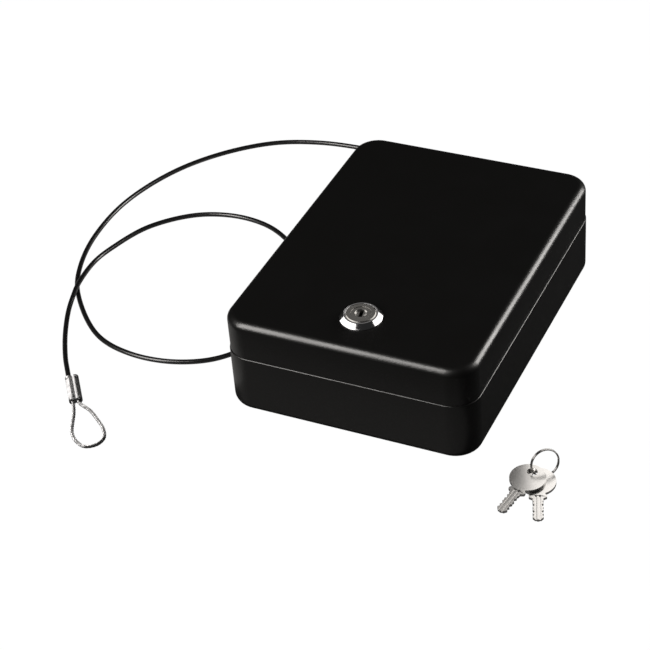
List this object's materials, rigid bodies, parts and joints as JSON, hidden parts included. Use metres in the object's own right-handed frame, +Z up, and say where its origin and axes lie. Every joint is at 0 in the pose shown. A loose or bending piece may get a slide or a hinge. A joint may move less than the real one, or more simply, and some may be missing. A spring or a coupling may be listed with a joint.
{
  "type": "portable car safe",
  "caption": "Portable steel car safe: pressed box with hinged key-lock lid, looped tether cable with crimped eye, and two keys on a split ring.",
  "frame": {"origin": "centre of the box's underside, on the surface that it stands on", "axes": "+Z up through the lid, +X to the right as seen from the lock's side, -Y towards the lock's edge and +Y towards the hinges"},
  "size_m": [0.4177, 0.3895, 0.0749],
  "materials": {
    "powder_coat": "satin black powder coat with a fine texture",
    "foam": "matte foam",
    "chrome": "polished",
    "dark_zinc": "dark satin",
    "zinc_steel": "zinc plated",
    "nickel": "nickel plated, brushed bow",
    "rubber": "matte",
    "vinyl": "gloss coat over wire rope",
    "aluminium": "plain crimped",
    "wire_rope": "bare twisted wire rope"
  },
  "bodies": {
    "base": {"base_shell": "powder_coat", "base_liner": "foam", "hinge_base_leaf_left": "powder_coat", "hinge_pin_left": "zinc_steel", "hinge_base_leaf_right": "powder_coat", "hinge_pin_right": "zinc_steel", "strike_bracket": "zinc_steel", "cable_grommet": "rubber", "cable_tail": "vinyl", "cable_stop_sleeve": "aluminium", "cable": "vinyl", "cable_ferrule": "aluminium", "cable_eye": "wire_rope"},
    "lid": {"lid_shell": "powder_coat", "lid_liner": "foam", "hinge_lid_leaf_left": "powder_coat", "hinge_lid_leaf_right": "powder_coat", "lock_collar": "chrome", "lock_body": "dark_zinc", "lock_washer": "zinc_steel", "lock_nut": "zinc_steel"},
    "lock_plug": {"lock_plug": "dark_zinc", "lock_cam": "zinc_steel", "cam_washer": "zinc_steel", "cam_screw": "zinc_steel"},
    "key_ring": {"key_ring": "nickel"},
    "key_1": {"key_1": "nickel"},
    "key_2": {"key_2": "nickel"}
  },
  "joints": [
    {"name": "lid_hinge", "type": "hinge", "parent": "base", "child": "lid", "pos_m": [0, 0.11895, 0.04375], "axis": [-1, 0, 0], "range_deg": [0, 105]},
    {"name": "lock_turn", "type": "hinge", "parent": "lid", "child": "lock_plug", "pos_m": [0, -0.08455, 0.0711], "axis": [0, 0, -1], "range_deg": [0, 90]},
    {"name": "key_ring_lift", "type": "slide", "parent": "base", "child": "key_ring", "axis": [0, 0, 1], "range_m": [0, 0.05]},
    {"name": "key_1_swing", "type": "hinge", "parent": "key_ring", "child": "key_1", "pos_m": [0.1262, -0.1175, 0.00554], "axis": [-0.0048, 0.0574, -0.9983], "range_deg": [0, 60]},
    {"name": "key_2_swing", "type": "hinge", "parent": "key_ring", "child": "key_2", "pos_m": [0.1293, -0.1164, 0.00328], "axis": [0.0048, -0.0574, 0.9983], "range_deg": [0, 20]}
  ]
}
